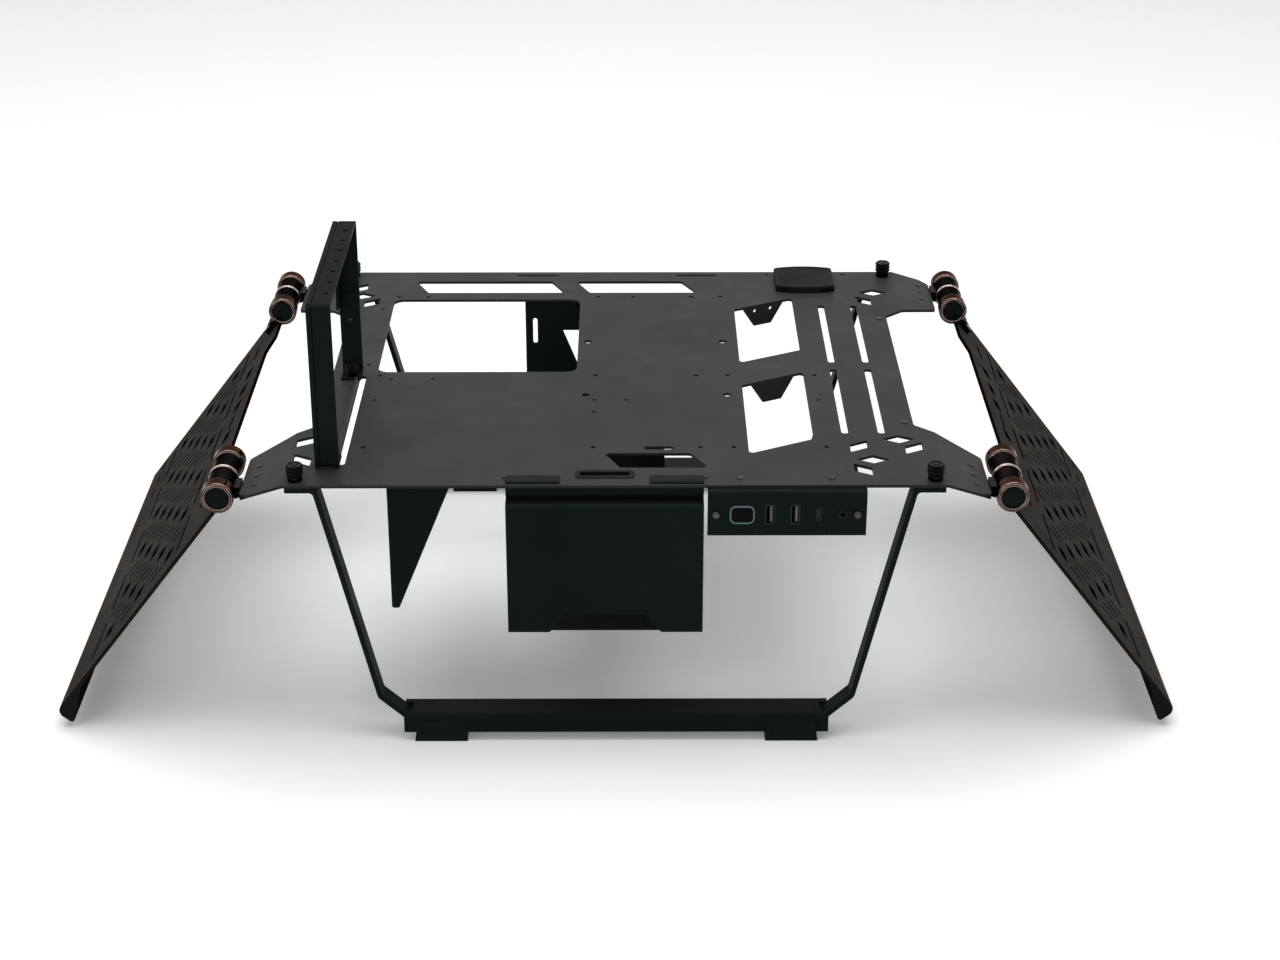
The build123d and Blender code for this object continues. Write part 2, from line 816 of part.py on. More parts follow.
def thumbscrew(radius, height, length):
    """Knurled head on a plain collar, seated at the origin."""
    head = Pos(0, 0, (knob_base + height) / 2) * Cylinder(radius, height - knob_base)
    head = chamfer(head.edges().group_by(Axis.Z)[-1], rib_r)
    grooves = []
    for i in range(knob_ribs):
        angle = i * 360 / knob_ribs
        grooves.append(Rot(0, 0, angle) * Pos(radius, 0, height / 2) * Cylinder(rib_r, 2 * height))
    head -= grooves
    collar = radius * knob_base_r / knob_r
    return head + Pos(0, 0, knob_base / 2) * Cylinder(collar, knob_base) + Pos(
        0, 0, -length / 2
    ) * Cylinder(stem_r, length)


def slot_stand():
    """Front upright, top bar and rear upright of one strip, with a side wall
    along its outer edge and a groove beside the wall."""
    foot = stand_front + stand_foot
    tail = plate_top + stand_tail_end
    path = [(foot, strip_top), (stand_front, strip_top), (stand_front, stand_top), (stand_rear, stand_top),
            (stand_rear, tail)]
    body = along_x(folded(path, stand_sheet, stand_bend), stand_left, stand_right)
    side_end = plate_top + stand_side_end
    d = stand_side_depth
    wall = polygon([
        (stand_front, strip_top), (stand_front, stand_top), (stand_rear, stand_top), (stand_rear, side_end),
        (stand_rear - d, side_end), (stand_rear - d, stand_top - d), (stand_front + d, stand_top - d),
        (stand_front + d, strip_top),
    ])
    tops = wall.vertices().filter_by(lambda v: v.Y > stand_top - stand_sheet / 2)
    wall = fillet(tops, stand_sheet + stand_bend)
    body += along_x(wall, stand_left - stand_side, stand_left)
    g0 = stand_left + stand_band
    g1 = g0 + stand_groove
    body -= block(g0, g1, stand_front, stand_rear, stand_top - stand_groove_depth, stand_top)
    body -= block(g0, g1, stand_front, stand_front + stand_groove_depth, strip_top, stand_top)
    for i in range(card_count):
        y = (stand_front + stand_rear) / 2 + (i - (card_count - 1) / 2) * card_pitch
        body -= Pos(card_hole_x, y, stand_top) * Cylinder(card_hole_r, 4 * stand_sheet)
    x, y = nut_spots()[0]
    body -= Pos(x, y, strip_top) * Cylinder(stem_r, 4 * stand_sheet)
    return body - stand_bore()


def stand_bore():
    place = Pos(stand_x, stand_rear - stand_sheet, plate_top + stand_screw_z)
    return place * Rot(90, 0, 0) * Cylinder(shank_r, 6 * stand_sheet)


def stand_rear_leg():
    """Lower leg in front of the stand's rear upright, with its foot on the strip."""
    y = stand_rear - stand_sheet
    path = [(y, plate_top + stand_leg_top), (y, strip_top), (y - stand_foot, strip_top)]
    body = along_x(folded(path, stand_sheet, stand_bend), stand_left, stand_right)
    x, y = nut_spots()[1]
    body -= Pos(x, y, strip_top) * Cylinder(stem_r, 4 * stand_sheet)
    return body - stand_bore()


def stand_strip():
    """Strip under the stand's feet with a lip along its inner edge."""
    body = block(stand_left - stand_side, strip_right, stand_front, stand_rear, plate_top, strip_top)
    lip_start = stand_front + stand_foot + 2 * stand_sheet
    lip_end = stand_rear - stand_foot - 3 * stand_sheet
    lip_top = strip_top + strip_lip
    body += block(strip_right - strip_sheet, strip_right, lip_start, lip_end, strip_top, lip_top)
    for x, y in nut_spots():
        body -= Pos(x, y, plate_top) * Cylinder(stem_r, 4 * strip_sheet)
    return body


def supply_cradle():
    """One folded sheet hooked over the plate's front edge: front wall, floor and rear wall."""
    hook_top = plate_top + hook_fit
    neck_z = plate_top - cradle_neck_drop
    face_top = plate_top - cradle_face_top
    face_low = plate_top - cradle_face_low
    rear_flange = (cradle_rear_y + cradle_flange, plate_under)
    path = [
        (cradle_neck_y, neck_z), (cradle_neck_y, face_top), (cradle_face_y, face_top),
        (cradle_face_y, face_low), (cradle_rear_y, face_low), (cradle_rear_y, plate_under), rear_flange,
    ]
    band = [(hook_edge, plate_under - hook_fit), (hook_edge, neck_z), (cradle_neck_y, neck_z)]
    hook = [(hook_back, hook_top), (hook_edge, hook_top), (hook_edge, neck_z), (cradle_neck_y, neck_z)]
    front = cradle_face_y - cradle_sheet
    outline = polygon([
        (cradle_left, front), (cradle_right, front), (cradle_right, floor_wide_end),
        (floor_right, floor_narrow_start), (floor_right, cradle_rear_y - 4 * cradle_sheet),
        (cradle_right, cradle_rear_y - 4 * cradle_sheet), (cradle_right, cradle_rear_y + cradle_flange),
        (cradle_left, cradle_rear_y + cradle_flange), (cradle_left, cradle_rear_y - 4 * cradle_sheet),
        (floor_left, cradle_rear_y - 4 * cradle_sheet), (floor_left, floor_narrow_start),
        (cradle_left, floor_wide_end),
    ])
    body = along_x(folded(path, cradle_sheet, cradle_bend), cradle_left, cradle_right)
    body = body & upright(outline, face_low - cradle_sheet, plate_top)
    body += along_x(folded(band, cradle_sheet, hook_fit), cradle_left, cradle_right)
    hook_section = folded(hook, cradle_sheet, hook_fit)
    for x in hook_x:
        body += along_x(hook_section, x, x + hook_width)
    middle = (cradle_left + cradle_right) / 2
    grip = polygon([
        (middle - grip_low / 2, face_low - cradle_sheet), (middle + grip_low / 2, face_low - cradle_sheet),
        (middle + grip_high / 2, face_low + grip_height), (middle - grip_high / 2, face_low + grip_height),
    ])
    body -= along_y(grip, front, cradle_face_y + 2 * cradle_sheet)
    vent = polygon([
        (middle - vent_high / 2, plate_top - vent_top), (middle + vent_high / 2, plate_top - vent_top),
        (middle + vent_low / 2, plate_top - vent_bottom), (middle - vent_low / 2, plate_top - vent_bottom),
    ])
    rear0, rear1 = cradle_rear_y - 3 * cradle_sheet, cradle_rear_y + 3 * cradle_sheet
    body -= along_y(vent, rear0, rear1)
    slot_z = plate_top - wall_slot_top - wall_slot_length / 2
    for x in (cradle_left + wall_slot_inset, cradle_right - wall_slot_inset):
        slot = Pos(x, slot_z) * SlotOverall(wall_slot_length, wall_slot_width, rotation=90)
        body -= along_y(slot, rear0, rear1)
    return body


def support_fin():
    low = plate_top - fin_drop
    face = polygon([
        (fin_left, plate_under), (fin_right, plate_under), (fin_left + fin_tip, low), (fin_left, low),
    ])
    tips = face.vertices().filter_by(lambda v: v.Y < low + fin_sheet)
    face = fillet(tips, fin_tip / 3)
    body = along_y(face, fin_y, fin_y + fin_sheet)
    return body + block(fin_left, fin_right, fin_y, fin_y + fin_flange, plate_under - fin_sheet, plate_under)


def port_shape(x, width, height, grow):
    radius = width / 2 + grow - port_round_play
    if width == usb_c_w:
        return Pos(x, port_z) * RectangleRounded(width + 2 * grow, height + 2 * grow, radius)
    return Pos(x, port_z) * Rectangle(width + 2 * grow, height + 2 * grow)


def button_face(grow):
    w, h = button_w + 2 * grow, button_h + 2 * grow
    return Pos(button_x, port_z) * RectangleRounded(w, h, button_r + grow)


def io_panel():
    path = [(panel_y, plate_top - panel_drop), (panel_y, plate_under), (panel_back, plate_under)]
    body = along_x(folded(path, panel_sheet, panel_sheet), panel_left, panel_right)
    cuts = [port_shape(x, usb_a_w, usb_a_h, port_fit) for x in usb_a_x]
    cuts.append(port_shape(usb_c_x, usb_c_w, usb_c_h, port_fit))
    cuts.append(Pos(jack_x, port_z) * Circle(jack_r + port_fit))
    cuts.append(button_face(button_fit + button_ring + port_fit))
    cuts += [Pos(x, port_z) * Circle(shank_r) for x in panel_screw_x]
    body -= along_y(Sketch() + cuts, panel_y - panel_sheet, panel_y + 2 * panel_sheet)
    for x in top_screw_x:
        body -= Pos(x, top_screw_y, plate_under) * Cylinder(shank_r, 4 * panel_sheet)
    return body


def io_housing():
    """Box behind the port panel, open towards it."""
    top = plate_under - panel_sheet - housing_gap - shank
    low = plate_top - housing_low
    front = panel_y + panel_sheet
    w = housing_wall
    body = block(housing_left, housing_right, front, housing_back, low, top)
    body -= block(housing_left + w, housing_right - w, front, housing_back - w, low + w, top - w)
    for x in panel_screw_x:
        post = Pos(x, port_z) * Circle(2 * shank_r)
        body += along_y(post, front, front + 2 * shank)
        body -= along_y(Pos(x, port_z) * Circle(shank_r), front, front + 2 * shank)
    return body


def io_board():
    top = plate_under - panel_sheet - housing_gap - shank - housing_wall - port_fit
    low = plate_top - housing_low + housing_wall
    x0 = housing_left + housing_wall + port_fit
    x1 = housing_right - housing_wall - port_fit
    return block(x0, x1, io_board_y, io_board_y + board_sheet, low, top)


def port(x, width, height):
    """Port shell from the panel's face to the board, closed at the board."""
    outer = along_y(port_shape(x, width, height, 0), panel_y, io_board_y)
    return outer - along_y(port_shape(x, width, height, -shell), panel_y, io_board_y - shell)


def audio_jack():
    spot = Pos(jack_x, port_z)
    body = along_y(spot * Circle(jack_r), panel_y - shell, io_board_y)
    return body - along_y(spot * Circle(jack_bore_r), panel_y - shell, panel_y + jack_depth)


def button_bezel():
    ring = button_face(button_fit + button_ring) - button_face(button_fit)
    return along_y(ring, panel_y - shell, panel_y + panel_sheet)


def power_button():
    back = panel_y - button_proud + button_length
    body = along_y(button_face(0), panel_y - button_proud, back)
    rest = panel_y + panel_sheet + button_rest_gap
    return body + along_y(button_face(button_fit + button_ring / 2), rest, rest + button_flange)


def cable_pad():
    x0, x1 = pad_x
    y0, y1 = pad_y
    middle = (x0 + x1) / 2
    line = [
        Line((x0, y0 + pad_crown), (x0, y1 - pad_crown)),
        ThreePointArc((x0, y1 - pad_crown), (middle, y1), (x1, y1 - pad_crown)),
        Line((x1, y1 - pad_crown), (x1, y0 + pad_crown)),
        ThreePointArc((x1, y0 + pad_crown), (middle, y0), (x0, y0 + pad_crown)),
    ]
    face = make_face(line)
    face = fillet(face.vertices(), pad_r)
    body = upright(face, plate_top, plate_top + pad_height)
    return fillet(body.edges().group_by(Axis.Z)[-1], pad_height / 4)


def cable_grommet():
    rim = grommet_hole(-grommet_rim) - grommet_hole(grommet_rim)
    sleeve = grommet_hole(grommet_fit) - grommet_hole(grommet_rim)
    lip = upright(rim, plate_top, plate_top + grommet_lip)
    return lip + upright(sleeve, plate_under - grommet_lip, plate_top)


corner_names = ["rear_right", "rear_left", "front_right", "front_left"]

save("main_plate", main_plate())
legs = leg_frame()
save("rear_leg_frame", legs)
save("front_leg_frame", front_of(legs))
rail = base_rail()
save("rear_base_rail", rail)
save("front_base_rail", front_of(rail))
for name, shape in zip(corner_names, all_corners(shoe())):
    save(f"{name}_foot", shape)
knob = Pos(knob_x, knob_y, plate_top) * thumbscrew(knob_r, knob_height, plate_sheet + bar)
save("leg_thumbscrews", *all_corners(knob))

right_wing = wing()
save("right_wing", right_wing)
save("left_wing", left_of(right_wing))
for name, shape in zip(corner_names, all_corners(at_hinge(fixed_knuckle()))):
    save(f"{name}_fixed_knuckle", shape)
for name, shape in zip(corner_names, all_corners(on_wing(moving_knuckle()))):
    save(f"{name}_moving_knuckle", shape)
for name, shape in zip(corner_names, all_corners(at_hinge(drum(pin_r, -pin_half, pin_half)))):
    save(f"{name}_hinge_pin", shape)
save("hinge_washers", *all_corners(at_hinge(washer())))
save("fixed_end_rings", *all_corners(at_hinge(end_ring(1))))
moving_ring = at_hinge(end_ring(-1))
save("right_wing_rings", moving_ring, front_of(moving_ring))
save("left_wing_rings", left_of(moving_ring), left_of(front_of(moving_ring)))
front_disc = front_of(at_hinge(end_disc(1)))
save("front_hinge_discs", front_disc, left_of(front_disc))
rear_dish = at_hinge(end_dish(1))
save("rear_hinge_dishes", rear_dish, left_of(rear_dish))
wing_disc = at_hinge(end_disc(-1))
save("right_wing_disc", wing_disc)
save("left_wing_disc", left_of(wing_disc))
wing_dish = front_of(at_hinge(end_dish(-1)))
save("right_wing_dish", wing_dish)
save("left_wing_dish", left_of(wing_dish))
rear_dish_screw = at_hinge(dish_screw(1))
save("rear_dish_screws", rear_dish_screw, left_of(rear_dish_screw))
wing_dish_screw = front_of(at_hinge(dish_screw(-1)))
save("right_dish_screw", wing_dish_screw)
save("left_dish_screw", left_of(wing_dish_screw))
arm_set = []
for x, y in arm_screws():
    arm_screw = Pos(x, y, arm_top(x)) * Rot(0, arm_slope, 0) * screw(shank, low_head, arm_head_r)
    arm_set += all_corners(arm_screw)
save("hinge_arm_screws", *arm_set)
lug_set = []
for s, u in wing_screws():
    lug_screw = on_wing(Pos(s, u, -wing_face_drop + foot_sheet) * screw(foot_sheet + wing_sheet))
    lug_set += [lug_screw, front_of(lug_screw)]
save("right_wing_screws", *lug_set)
save("left_wing_screws", *[left_of(shape) for shape in lug_set])

save("slot_stand", slot_stand())
save("stand_rear_leg", stand_rear_leg())
save("stand_strip", stand_strip())
stand_screw = Pos(stand_x, stand_rear, plate_top + stand_screw_z) * Rot(-90, 0, 0) * screw(2 * stand_sheet)
save("stand_screw", stand_screw)
nut = thumbscrew(nut_r, nut_height, stand_sheet + strip_sheet + plate_sheet)
save("stand_thumbscrews", *[Pos(x, y, strip_top + stand_sheet) * nut for x, y in nut_spots()])

save("supply_cradle", supply_cradle())
save("support_fin", support_fin())
save("io_panel", io_panel())
save("io_housing", io_housing())
save("io_board", io_board())
save("usb_a_ports", *[port(x, usb_a_w, usb_a_h) for x in usb_a_x])
save("usb_c_port", port(usb_c_x, usb_c_w, usb_c_h))
save("audio_jack", audio_jack())
save("button_bezel", button_bezel())
save("power_button", power_button())
panel_screw = Rot(90, 0, 0) * screw(shank)
save("io_screws", *[Pos(x, panel_y, port_z) * panel_screw for x in panel_screw_x])
save("cable_pad", cable_pad())
save("cable_grommet", cable_grommet())
top_screw = screw(plate_sheet + panel_sheet, low_head)
strip_screw = screw(plate_sheet, low_head)
plate_set = [Pos(x, top_screw_y, plate_top) * top_screw for x in top_screw_x]
plate_set += [Pos(strip_screw_x, side * strip_screw_y, plate_top) * strip_screw for side in (-1, 1)]
save("plate_screws", *plate_set)
print(len(written), "parts written")
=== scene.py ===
import math

import bpy
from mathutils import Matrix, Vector


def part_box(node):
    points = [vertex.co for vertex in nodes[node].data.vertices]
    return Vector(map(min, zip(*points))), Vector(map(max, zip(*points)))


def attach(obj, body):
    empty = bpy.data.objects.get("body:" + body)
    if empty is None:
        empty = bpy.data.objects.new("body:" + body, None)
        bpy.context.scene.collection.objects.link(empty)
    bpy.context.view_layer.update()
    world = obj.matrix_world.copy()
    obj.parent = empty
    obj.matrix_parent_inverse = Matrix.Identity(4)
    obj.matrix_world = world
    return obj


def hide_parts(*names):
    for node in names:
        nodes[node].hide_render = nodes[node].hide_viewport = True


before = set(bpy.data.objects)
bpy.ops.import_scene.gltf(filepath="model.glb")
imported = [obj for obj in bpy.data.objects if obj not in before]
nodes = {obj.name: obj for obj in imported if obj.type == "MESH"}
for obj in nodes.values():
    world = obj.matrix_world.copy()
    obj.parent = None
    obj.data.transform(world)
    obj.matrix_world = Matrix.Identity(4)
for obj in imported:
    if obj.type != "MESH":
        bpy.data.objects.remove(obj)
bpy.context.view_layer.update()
print("frame loaded:", len(nodes), "nodes")


# finishes: every colour is a linear value, sizes are metres; a look with a turned pattern is metal
# the plate, stand and leg paints are one black paint in lit and shaded copies: the plate's lighter charcoal
# is painted top light, the legs' darker green-black is painted shade of upright faces, the stand's copy lies
# between
plateLitPaint = {"dark": (0.027, 0.027, 0.0265), "light": (0.033, 0.033, 0.0325),
              "edge": (0.075, 0.075, 0.073), "rough": (0.44, 0.58), "gloss": 0.08, "grain": 1900,
              "depth": 0.00006, "wearAndShine": 0.55}
# the stand and leg paints below put a lighter colour on upward faces: painted top light
standHalfLitPaint = {"dark": (0.0105, 0.0165, 0.0165), "light": (0.0150, 0.0215, 0.0212),
              "edge": (0.045, 0.052, 0.051), "paintedTopLight": (0.0075, 0.0082, 0.0080), "rough": (0.42, 0.55),
              "gloss": 0.015, "grain": 1900, "depth": 0.00006, "wearAndShine": 0.5}
legShadedPaint = {"dark": (0.0060, 0.0110, 0.0108), "light": (0.0085, 0.0145, 0.0142),
            "edge": (0.030, 0.040, 0.040), "paintedTopLight": (0.0085, 0.0088, 0.0088), "rough": (0.42, 0.56),
            "gloss": 0.04, "grain": 1900, "depth": 0.00006, "wearAndShine": 0.5}
# the wing's near-black wall colour is painted shade inside its slots
wingCoat = {"dark": (0.0220, 0.0188, 0.0163), "light": (0.0345, 0.0299, 0.0259),
            "edge": (0.060, 0.050, 0.043), "cut": (0.0012, 0.0012, 0.0012), "rim": (0.020, 0.0175, 0.0155),
            "rough": (0.46, 0.62), "gloss": 0.002, "grain": 2600, "depth": 0.00004, "wearAndShine": 0.6}
# the barrel and ring looks paint bands by height, dark at the hinge axis and light above and below it: a
# painted reflection
barrelBlack = {"dark": (0.006, 0.006, 0.0064), "light": (0.032, 0.029, 0.028),
               "edge": (0.12, 0.105, 0.098), "lug": (0.004, 0.004, 0.004), "lugGloss": 0.05, "reflectionBands": 15.7,
               "shift": 0.9, "tint": 0.3, "rough": (0.26, 0.38), "turned": 2600, "depth": 0.000002,
               "wearAndShine": 0.5}
knobBlack = {"dark": (0.0016, 0.0016, 0.0018), "light": (0.0035, 0.0035, 0.0036),
             "edge": (0.012, 0.012, 0.012), "rough": (0.12, 0.22), "gloss": 0.07, "grain": 3200,
             "depth": 0.00001, "wearAndShine": 0.2}
# the rings' pale edge colour is a painted rim highlight
ringChrome = {"dark": (0.016, 0.008, 0.006), "light": (0.085, 0.044, 0.031), "edge": (0.72, 0.60, 0.53),
              "reflectionBands": 26.2, "shift": -0.07, "tint": 0.45, "round": 0.0007, "rough": (0.05, 0.11),
              "turned": 2300, "depth": 0.000001, "wearAndShine": 1.0}
dishGold = {"dark": (0.34, 0.24, 0.14), "light": (0.62, 0.47, 0.31), "edge": (0.92, 0.78, 0.58),
            "rough": (0.12, 0.24), "turned": 2600, "depth": 0.000003, "wearAndShine": 0.5}
screwCopper = {"dark": (0.022, 0.014, 0.011), "light": (0.042, 0.028, 0.022), "edge": (0.24, 0.15, 0.11),
               "rough": (0.24, 0.38), "turned": 1500, "depth": 0.000003, "wearAndShine": 0.6}
screwDark = {"dark": (0.016, 0.015, 0.014), "light": (0.030, 0.027, 0.025), "edge": (0.16, 0.12, 0.10),
             "rough": (0.30, 0.44), "gloss": 0.12, "grain": 2600, "depth": 0.00002, "wearAndShine": 0.6}
screwSteel = {"dark": (0.022, 0.021, 0.020), "light": (0.060, 0.056, 0.053), "edge": (0.50, 0.47, 0.44),
              "rough": (0.22, 0.36), "turned": 1700, "depth": 0.000003, "wearAndShine": 0.6}
pinSteel = {"dark": (0.42, 0.42, 0.42), "light": (0.56, 0.56, 0.56), "edge": (0.75, 0.75, 0.75),
            "rough": (0.18, 0.30), "turned": 2800, "depth": 0.000003, "wearAndShine": 0.4}
portShell = {"dark": (0.012, 0.012, 0.012), "light": (0.026, 0.025, 0.025), "edge": (0.10, 0.095, 0.092),
             "rough": (0.24, 0.36), "turned": 900, "depth": 0.00001, "wearAndShine": 0.4}
discEnamel = {"dark": (0.0020, 0.0050, 0.0050), "light": (0.0050, 0.0110, 0.0105),
              "edge": (0.04, 0.055, 0.055), "rough": (0.14, 0.24), "gloss": 0.05, "grain": 4000,
              "depth": 0.00001, "wearAndShine": 0.4}
softRubber = {"dark": (0.005, 0.0055, 0.0055), "light": (0.010, 0.0105, 0.0105),
              "edge": (0.026, 0.027, 0.027), "rough": (0.62, 0.80), "gloss": 0.10, "grain": 1400,
              "depth": 0.00010, "wearAndShine": 0.35}
footRubber = {"dark": (0.0060, 0.0105, 0.0105), "light": (0.0090, 0.0145, 0.0145),
              "edge": (0.045, 0.058, 0.058), "rough": (0.55, 0.72), "gloss": 0.06, "grain": 1400,
              "depth": 0.00008, "wearAndShine": 0.4}
mouldedBlack = {"dark": (0.004, 0.0045, 0.0045), "light": (0.008, 0.0085, 0.0085),
                "edge": (0.03, 0.03, 0.03), "rough": (0.40, 0.55), "gloss": 0.12, "grain": 2400,
                "depth": 0.00004, "wearAndShine": 0.3}
buttonGloss = {"dark": (0.003, 0.004, 0.004), "light": (0.006, 0.0075, 0.0075),
               "edge": (0.02, 0.024, 0.024), "rough": (0.20, 0.30), "gloss": 0.03, "grain": 3000,
               "depth": 0.00002, "wearAndShine": 0.3}
lampPlastic = {"dark": (0.13, 0.22, 0.225), "light": (0.20, 0.31, 0.315), "edge": (0.36, 0.48, 0.48),
               "rough": (0.22, 0.34), "gloss": 0.3, "grain": 3000, "depth": 0.00001, "wearAndShine": 0.3}
tongueGrey = {"dark": (0.14, 0.122, 0.118), "light": (0.21, 0.186, 0.180), "edge": (0.34, 0.31, 0.30),
              "rough": (0.30, 0.42), "gloss": 0.3, "grain": 3000, "depth": 0.00001, "wearAndShine": 0.3}
pinGold = {"dark": (0.50, 0.34, 0.14), "light": (0.66, 0.48, 0.22), "edge": (0.8, 0.64, 0.36),
           "rough": (0.18, 0.28), "turned": 900, "depth": 0.00001, "wearAndShine": 0.4}
boardMask = {"dark": (0.010, 0.034, 0.020), "light": (0.018, 0.052, 0.030), "edge": (0.30, 0.24, 0.12),
             "rough": (0.28, 0.40), "gloss": 0.3, "grain": 1800, "depth": 0.00003, "wearAndShine": 0.6}

# shared by all finishes: noise scales per metre, the span of each noise that is used, how edges show
pattern = {"drift": 7.0, "driftDetail": 5.0, "driftSpan": (0.32, 0.68), "speck": 260.0,
           "speckSpan": (0.35, 0.75), "speckShare": 0.35, "blotch": 34.0, "blotchDetail": 4.0,
           "blotchSpan": (0.3, 0.7), "rub": 90.0, "rubSpan": (0.35, 0.7), "rubLeast": 0.2, "rubGain": 0.3,
           "edgeRound": 0.0005, "edgeReach": 0.86, "edgeFlat": 0.999, "edgeSamples": 6,
           "paintedTopSpan": (0.75, 0.98), "coatSpan": (0.55, 0.80), "bump": 0.6, "fineDetail": 2.0,
           "bandWarp": 1.2, "turnWarp": 1.5, "turnDetail": 1.0}


def addNode(mat, kind, **sockets):
    node = mat.node_tree.nodes.new(kind)
    for key, value in sockets.items():
        node.inputs[key].default_value = value
    return node


def wire(mat, source, target):
    mat.node_tree.links.new(source, target)


def startMaterial(name):
    mat = bpy.data.materials.new(name)
    mat.use_nodes = True
    return mat, mat.node_tree.nodes["Principled BSDF"]


def ranged(mat, value, low, high, fromLow=0.0, fromHigh=1.0):
    node = addNode(mat, "ShaderNodeMapRange")
    node.inputs["From Min"].default_value = fromLow
    node.inputs["From Max"].default_value = fromHigh
    node.inputs["To Min"].default_value = low
    node.inputs["To Max"].default_value = high
    wire(mat, value, node.inputs["Value"])
    return node.outputs["Result"]


def mixed(mat, share, a, b):
    node = addNode(mat, "ShaderNodeMix")
    node.data_type = "RGBA"
    wire(mat, share, node.inputs["Factor"])
    for source, socket in ((a, node.inputs[6]), (b, node.inputs[7])):
        if isinstance(source, tuple):
            socket.default_value = (*source, 1)
        else:
            wire(mat, source, socket)
    return node.outputs[2]


def noiseOf(mat, place, scale, detail=3.0, rough=0.55):
    node = addNode(mat, "ShaderNodeTexNoise", Scale=scale, Detail=detail, Roughness=rough)
    wire(mat, place, node.inputs["Vector"])
    return node.outputs["Fac"]


def edgeMask(mat, radius):
    soft = addNode(mat, "ShaderNodeBevel", Radius=radius)
    soft.samples = pattern["edgeSamples"]
    true = addNode(mat, "ShaderNodeNewGeometry")
    dot = addNode(mat, "ShaderNodeVectorMath")
    dot.operation = "DOT_PRODUCT"
    wire(mat, soft.outputs["Normal"], dot.inputs[0])
    wire(mat, true.outputs["Normal"], dot.inputs[1])
    edge = ranged(mat, dot.outputs["Value"], 1.0, 0.0, pattern["edgeReach"], pattern["edgeFlat"])
    return edge, soft.outputs["Normal"]


def facing(mat, normal, direction, span):
    dot = addNode(mat, "ShaderNodeVectorMath")
    dot.operation = "DOT_PRODUCT"
    wire(mat, normal, dot.inputs[0])
    dot.inputs[1].default_value = direction
    size = addNode(mat, "ShaderNodeMath")
    size.operation = "ABSOLUTE"
    wire(mat, dot.outputs["Value"], size.inputs[0])
    return ranged(mat, size.outputs["Value"], 0.0, 1.0, *span)


# bands by height that stand in for a chrome reflection: painted reflection
def paintReflectionBands(mat, place, scale, shift):
    wave = addNode(mat, "ShaderNodeTexWave", Scale=scale)
    wave.inputs["Distortion"].default_value = pattern["bandWarp"]
    wave.inputs["Detail"].default_value = pattern["fineDetail"]
    wave.bands_direction = "Z"
    wave.inputs["Phase Offset"].default_value = shift
    wire(mat, place, wave.inputs["Vector"])
    return wave.outputs["Fac"]


# where the hinge line runs, and the radius up to which a knuckle is barrel and not lug
hingeAxis = {"x": 0.2606, "z": 0.178, "barrel": 0.0095, "fade": 0.0002}


def onBarrel(mat, place):
    parts = addNode(mat, "ShaderNodeSeparateXYZ")
    wire(mat, place, parts.inputs["Vector"])
    spread = addNode(mat, "ShaderNodeCombineXYZ")
    width = addNode(mat, "ShaderNodeMath")
    width.operation = "ABSOLUTE"
    wire(mat, parts.outputs["X"], width.inputs[0])
    wire(mat, width.outputs["Value"], spread.inputs["X"])
    wire(mat, parts.outputs["Z"], spread.inputs["Z"])
    away = addNode(mat, "ShaderNodeVectorMath")
    away.operation = "DISTANCE"
    wire(mat, spread.outputs["Vector"], away.inputs[0])
    away.inputs[1].default_value = (hingeAxis["x"], 0.0, hingeAxis["z"])
    reach = hingeAxis["barrel"]
    return ranged(mat, away.outputs["Value"], 1.0, 0.0, reach, reach + hingeAxis["fade"])


# the wing's outer ends and its lip, which are coated like its faces
wingRim = {"half": 0.19, "sheet": 0.0026, "low": 0.024, "fade": 0.0001}


def rimOff(mat, place):
    parts = addNode(mat, "ShaderNodeSeparateXYZ")
    wire(mat, place, parts.inputs["Vector"])
    length = addNode(mat, "ShaderNodeMath")
    length.operation = "ABSOLUTE"
    wire(mat, parts.outputs["Y"], length.inputs[0])
    end = wingRim["half"] - wingRim["sheet"]
    along = ranged(mat, length.outputs["Value"], 1.0, 0.0, end, end + wingRim["fade"])
    above = ranged(mat, parts.outputs["Z"], 0.0, 1.0, wingRim["low"], wingRim["low"] + wingRim["fade"])
    both = addNode(mat, "ShaderNodeMath")
    both.operation = "MULTIPLY"
    wire(mat, along, both.inputs[0])
    wire(mat, above, both.inputs[1])
    return both.outputs["Value"]


